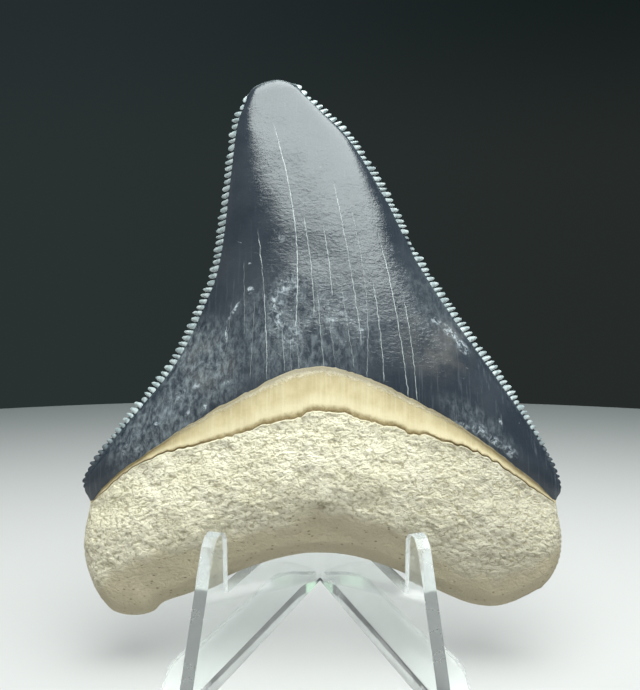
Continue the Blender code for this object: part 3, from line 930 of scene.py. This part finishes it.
def enamel_look():
    look = Look("enamel")
    where = look.place()
    _, y, z = look.split(where)
    front = look.math("LESS_THAN", y, 0.0)
    broad = look.noise(where, 0.09, 4.0, 0.6)
    colour = look.mix(look.ease(broad, 0.35, 0.65), ENAMEL["deep"], ENAMEL["slate"])
    # Cloudy warmer zones.
    cloud = look.ease(look.noise(where, 0.35, 4.0), 0.35, 0.7)
    warm = look.times(patch_mask(look, where, WARM), cloud)
    colour = look.mix(look.times(warm, 0.6), colour, ENAMEL["warm"])
    # Fine streaks down the blade, clearer near the root.
    streaks = look.noise(look.place((3.2, 1.0, 0.10)), 1.0, 4.0, 0.65)
    near_root = look.ease(z, 16.0, 44.0, 1.0, 0.25)
    streaks = look.times(look.ease(streaks, 0.52, 0.78), near_root)
    colour = look.mix(look.times(streaks, 0.5), colour, ENAMEL["streak"])
    speckle = look.ease(look.noise(where, 3.4, 5.0, 0.7), 0.62, 0.8)
    colour = look.mix(look.times(speckle, 0.25), colour, ENAMEL["speckle"])
    haze = look.ease(look.noise(look.place((1.5, 1.0, 0.8)), 1.0, 7.0, 0.74, 0.3), 0.36, 0.80)
    haze = look.times(haze, look.times(patch_mask(look, where, HAZE), front))
    colour = look.mix(haze, colour, ENAMEL["haze"])
    # Scuffs and cracks, on the display face.
    scuff = scuff_mask(look, where, front)
    colour = look.mix(look.times(scuff, 0.88), colour, ENAMEL["scuff"])
    crack = look.times(crack_mask(look, where), front)
    colour = look.mix(look.times(crack, 0.85), colour, ENAMEL["crack"])
    # The serrations: pale worn crests with dark gaps, darker towards the corners.
    lobe = look.attribute("lobe")
    pale = look.times(look.ease(lobe, 0.22, 0.55), look.ease(z, 11.0, 19.0))
    chalky = look.ease(look.noise(where, 1.3, 4.0), 0.35, 0.65)
    worn = look.mix(chalky, ENAMEL["worn"], ENAMEL["chalk"])
    colour = look.mix(look.times(pale, 0.95), colour, worn)
    look.set(Base_Color=colour, IOR=1.6)
    look.set(Roughness=look.plus(look.scaled(broad, 0.08, 0.10), look.times(scuff, 0.3)))
    ripple = look.noise(look.place((1.0, 1.0, 1.7)), 1.6, 5.0, 0.62, 0.3)
    wear = look.noise(where, 0.5, 4.0, 0.6)
    ripple = look.times(ripple, look.ease(wear, 0.3, 0.7, 0.5, 1.2))
    normal = look.bump(ripple, 0.42, 0.00008)
    look.set(Normal=look.bump(look.minus(1.0, crack), 0.4, 0.00004, normal))
    return look.material


def band_look():
    look = Look("bare_band")
    where = look.place()
    x = look.split(where)["X"]
    band = look.attribute("band")
    broad = look.noise(where, 0.4, 4.0, 0.6)
    colour = look.mix(look.ease(broad, 0.35, 0.7), BAND["tan"], BAND["sand"])
    streaks = look.noise(look.place((2.6, 1.0, 0.16)), 1.0, 4.0, 0.6)
    colour = look.mix(look.ease(streaks, 0.45, 0.7, 0.0, 0.45), colour, BAND["streak"])
    lower = look.times(look.ease(band, 0.5, 0.75), look.ease(band, 0.85, 0.97, 1.0, 0.0))
    colour = look.mix(look.times(lower, 0.45), colour, BAND["lower"])
    # The crumbly pale rim where the enamel broke away, and dark brown painted shade in the crease
    # above the root, wider towards the corners.
    edge = look.plus(band, look.scaled(look.noise(where, 2.2, 4.0, 0.7), 0.3, -0.15))
    colour = look.mix(look.ease(edge, 0.08, 0.2, 0.9, 0.0), colour, BAND["rim"])
    corner = look.ease(look.math("ABSOLUTE", x), 11.0, 24.0, 0.0, 0.14)
    crease = look.ease(look.plus(edge, corner), 0.84, 1.02, 0.0, 0.85)
    colour = look.mix(crease, colour, BAND["crease"])
    look.set(Base_Color=colour, Roughness=look.scaled(broad, 0.2, 0.38))
    crumbs = look.times(look.noise(where, 3.0, 5.0, 0.7), look.ease(edge, 0.08, 0.22, 1.0, 0.15))
    look.set(Normal=look.bump(look.plus(crumbs, look.times(streaks, 0.25)), 0.7, 0.00018))
    return look.material


def root_look():
    look = Look("root")
    where = look.place()
    x = look.split(where)["X"]
    pit = look.attribute("pit")
    low = look.attribute("low")
    broad = look.noise(where, 0.16, 4.0, 0.6)
    colour = look.mix(look.ease(broad, 0.35, 0.68), ROOT["cream"], ROOT["pale"])
    tint = look.noise(where, 0.45, 5.0, 0.65)
    colour = look.mix(look.ease(tint, 0.52, 0.75, 0.0, 0.4), colour, ROOT["ochre"])
    # Painted shade: greyer and darker towards the root's right side.
    colour = look.mix(look.ease(x, 4.0, 24.0, 0.0, 0.6), colour, ROOT["grey"])
    # Small rounded grains, with painted shade in the hollows and pits between them.
    slant = look.bend(look.place((0.9, 1.0, 1.3), 0.4), 1.1, 0.9)
    fine = look.noise(slant, 2.6, 5.0, 0.68)
    height = look.math("MULTIPLY_ADD", look.cells(slant, 2.0), -0.6, look.times(fine, 1.5))
    between = look.times(look.ease(height, 0.42, 0.2), 0.62)
    hollow = look.larger(between, look.times(look.ease(pit, 0.35, 1.0), 0.45))
    rough = look.scaled(low, -0.75, 1.0)
    colour = look.mix(look.times(hollow, rough), colour, ROOT["hollow_shade"])
    # The smooth lower band, where the root turns under: its darker tan is painted shade. It is finely
    # pitted.
    colour = look.mix(look.times(low, 0.9), colour, ROOT["tan"])
    dots = look.ease(look.cells(look.place((0.75, 1.0, 1.5)), 1.5), 0.10, 0.24, 1.0, 0.0)
    dots = look.times(dots, look.ease(look.noise(where, 0.9, 3.0), 0.42, 0.58))
    dots = look.times(dots, look.ease(low, 0.0, 0.6, 0.35, 1.0))
    colour = look.mix(look.times(dots, 0.75), colour, ROOT["pit"])
    look.set(Base_Color=colour, Roughness=look.scaled(broad, 0.12, 0.76))
    look.set(Specular_IOR_Level=0.3)
    height = look.times(height, look.scaled(low, -0.65, 1.0))
    height = look.minus(height, look.times(dots, 0.35))
    look.set(Normal=look.bump(height, 0.9, 0.00042))
    return look.material


# -------------------- the easel
def acrylic_look(name, finish):
    look = Look(name)
    where = look.place()
    look.set(Base_Color=ACRYLIC["body"], IOR=1.49, Transmission_Weight=finish["transmission"])
    wear = look.noise(where, 0.25, 5.0, 0.65)
    scratch = look.noise(look.place((0.4, 0.4, 3.0)), 1.2, 3.0, 0.6)
    rough = finish["roughness"]
    look.set(Roughness=look.ease(wear, 0.45, 0.8, rough, rough + 0.08))
    wave = look.plus(look.times(wear, 0.7), look.times(scratch, 0.3))
    look.set(Normal=look.bump(wave, 0.12, 0.0001))
    soak = look.node("ShaderNodeVolumeAbsorption")
    soak.inputs["Color"].default_value = ACRYLIC["soaked"]
    soak.inputs["Density"].default_value = ACRYLIC["density"]
    look.plug(look.out.inputs["Volume"], soak.outputs["Volume"])
    return look.material


def sawn_look():
    """The grey, finely scored edge a wing stands on."""
    look = Look("sawn_edge")
    score = look.noise(look.place((1.4, 0.35, 1.0)), 3.0, 4.0, 0.7)
    shade = look.ease(score, 0.35, 0.68)
    look.set(Base_Color=look.mix(shade, SAWN["dark"], SAWN["light"]), Roughness=0.6)
    look.set(Transmission_Weight=0.15, Normal=look.bump(score, 0.5, 0.0001))
    return look.material


def wing_outward(side):
    """The direction a wing's outer face looks in; side is -1 for the left one and 1 for the right."""
    angle = math.radians(HALF_ANGLE + side * TURN)
    return Vector((side * math.cos(angle), math.sin(angle), 0.0))


def easel_part(face):
    """0: a clear sheet's face; 1: a polished edge; 2: the sawn edge the wings stand on."""
    middle = face.calc_center_median()
    level = abs(face.normal.z) > 0.98
    if level and middle.z < BOTTOM * MM:
        side = -1 if middle.x < CORNER.x else 1
        gap = (middle - CORNER) / MM
        return 2 if -0.05 < gap.dot(wing_outward(side)) < SHEET + 0.05 else 0
    if level and middle.z < FOOT_TOP * MM:
        return 0
    upright = abs(face.normal.z) < 0.1
    return 0 if upright and abs(abs(face.normal.x) - WING_NORMAL) < 0.03 else 1


def build_easel():
    """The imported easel, its bottom cut along the sheets' outer faces and its edges softened."""
    mesh = bmesh.new()
    mesh.from_mesh(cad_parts["display_easel"].data)
    bmesh.ops.remove_doubles(mesh, verts=mesh.verts, dist=1e-6)
    bmesh.ops.dissolve_limit(
        mesh, angle_limit=math.radians(1.0), verts=mesh.verts, edges=mesh.edges
    )
    for side in (-1, 1):
        outward = wing_outward(side)
        bmesh.ops.bisect_plane(
            mesh, geom=mesh.verts[:] + mesh.edges[:] + mesh.faces[:], dist=1e-7,
            plane_co=CORNER + outward * SHEET * MM, plane_no=outward,
        )
    turned = math.radians(12)
    sharp = [item for item in mesh.edges if item.is_manifold and item.calc_face_angle() > turned]
    bmesh.ops.bevel(
        mesh, geom=sharp, offset=SOFT_EDGE * MM, segments=3, profile=0.5, affect="EDGES",
        clamp_overlap=True,
    )
    for face in mesh.faces:
        face.material_index = easel_part(face)
    data = bpy.data.meshes.new("easel_surface")
    mesh.to_mesh(data)
    print("easel", len(data.polygons), "faces;", count_open(mesh), "open edges")
    mesh.free()
    data.shade_smooth()
    easel = bpy.data.objects.new("clear_easel", data)
    bpy.context.scene.collection.objects.link(easel)
    easel.modifiers.new("flat_faces", "WEIGHTED_NORMAL").keep_sharp = True
    easel.visible_shadow = False
    return easel


# -------------------- the object
tooth = build_tooth()
for made in (enamel_look(), band_look(), root_look()):
    tooth.data.materials.append(made)
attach(tooth, "root")
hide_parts("megalodon_tooth")

easel = build_easel()
for made in (acrylic_look("clear_acrylic", CLEAR), acrylic_look("acrylic_edge", FROSTED), sawn_look()):
    easel.data.materials.append(made)
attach(easel, "root")
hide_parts("display_easel")


# -------------------- the studio
def table_look():
    """A pale table with painted light: a soft glow of its own fills its shadows, and painted shade
    darkens it towards its rim.
    """
    look = Look("pale_table")
    where = look.place()
    x, y, _ = look.split(where)
    out = look.math("SQRT", look.math("MULTIPLY_ADD", x, x, look.times(y, y)))
    # Painted shade: the table darkens from behind the tooth out to its rim, where the light falls off.
    rim = look.ease(out, 235.0, 375.0)
    pale = look.mix(look.noise(where, 0.02, 3.0), TABLE["grey"], TABLE["light"])
    look.set(Base_Color=look.mix(rim, pale, TABLE["rim"]), Roughness=0.45)
    # Painted light: the table glows to fill the shadows on it; the glow fades towards the rim.
    look.set(Emission_Color=look.mix(rim, TABLE["painted_fill_light"], TABLE["rim_painted_fill_light"]), Emission_Strength=1.0)
    look.set(Normal=look.bump(look.noise(where, 1.5, 3.0), 0.05, 0.0001))
    return look.material


def build_table():
    mesh = bmesh.new()
    bmesh.ops.create_circle(mesh, cap_ends=True, segments=256, radius=TABLE_RADIUS * MM)
    data = bpy.data.meshes.new("table_top")
    mesh.to_mesh(data)
    mesh.free()
    table = bpy.data.objects.new("table", data)
    table.location = CORNER + Vector(TABLE_AT) * MM
    bpy.context.scene.collection.objects.link(table)
    table.data.materials.append(table_look())
    return table


def build_world():
    """A dark backdrop behind the table, and a pale room in front of it and above."""
    world = bpy.data.worlds.new("studio")
    bpy.context.scene.world = world
    world.use_nodes = True
    sky = Nodes(world.node_tree)
    across, away, up = sky.split(sky.node("ShaderNodeTexCoord").outputs["Generated"])
    right = sky.ease(across, -0.30, 0.32)
    low = sky.mix(right, BACKDROP["low_left"], BACKDROP["low_right"])
    high = sky.mix(right, BACKDROP["high_left"], BACKDROP["high_right"])
    backdrop = sky.mix(sky.ease(up, 0.0, 0.2), low, high)
    room = sky.mix(sky.ease(up, -0.3, 0.3), ROOM["low"], ROOM["high"])
    shown = sky.mix(sky.ease(away, 0.1, 0.45), room, backdrop)
    sky.plug(sky.tree.nodes["Background"].inputs["Color"], shown)


def lamp(name, spot, target, size, power, colour=(1.0, 1.0, 1.0)):
    data = bpy.data.lights.new(name, "AREA")
    data.shape = "ELLIPSE"
    data.size = data.size_y = size
    data.energy = power
    data.color = colour
    made = bpy.data.objects.new(name, data)
    made.location = spot
    made.rotation_euler = (Vector(target) - Vector(spot)).to_track_quat("-Z", "Y").to_euler()
    bpy.context.scene.collection.objects.link(made)
    return made


def build_camera():
    data = bpy.data.cameras.new("camera")
    data.sensor_fit = "HORIZONTAL"
    data.sensor_width = SENSOR
    data.lens = FOCAL_LENGTH / PICTURE_WIDTH * SENSOR
    data.clip_start = 0.005
    data.clip_end = 20.0
    camera = bpy.data.objects.new("camera", data)
    camera.location = CORNER + Vector(CAMERA_AT) * MM
    camera.rotation_euler = (math.pi / 2 - math.atan(HORIZON_UP / FOCAL_LENGTH), 0.0, 0.0)
    bpy.context.scene.collection.objects.link(camera)
    return camera


build_table()
build_world()
lamp("overhead", **PANEL, colour=PANEL_COLOUR)
for name, side in (("left", -1), ("right", 1)):
    spot = (SIDE_LAMP["away"] * side, SIDE_LAMP["behind"], SIDE_LAMP["up"])
    weak = lamp(f"side_{name}", spot, SIDE_LAMP["target"], SIDE_LAMP["size"], SIDE_POWER[name])
    weak.visible_glossy = False
bpy.context.scene.camera = build_camera()
bpy.context.scene.view_settings.view_transform = "Standard"
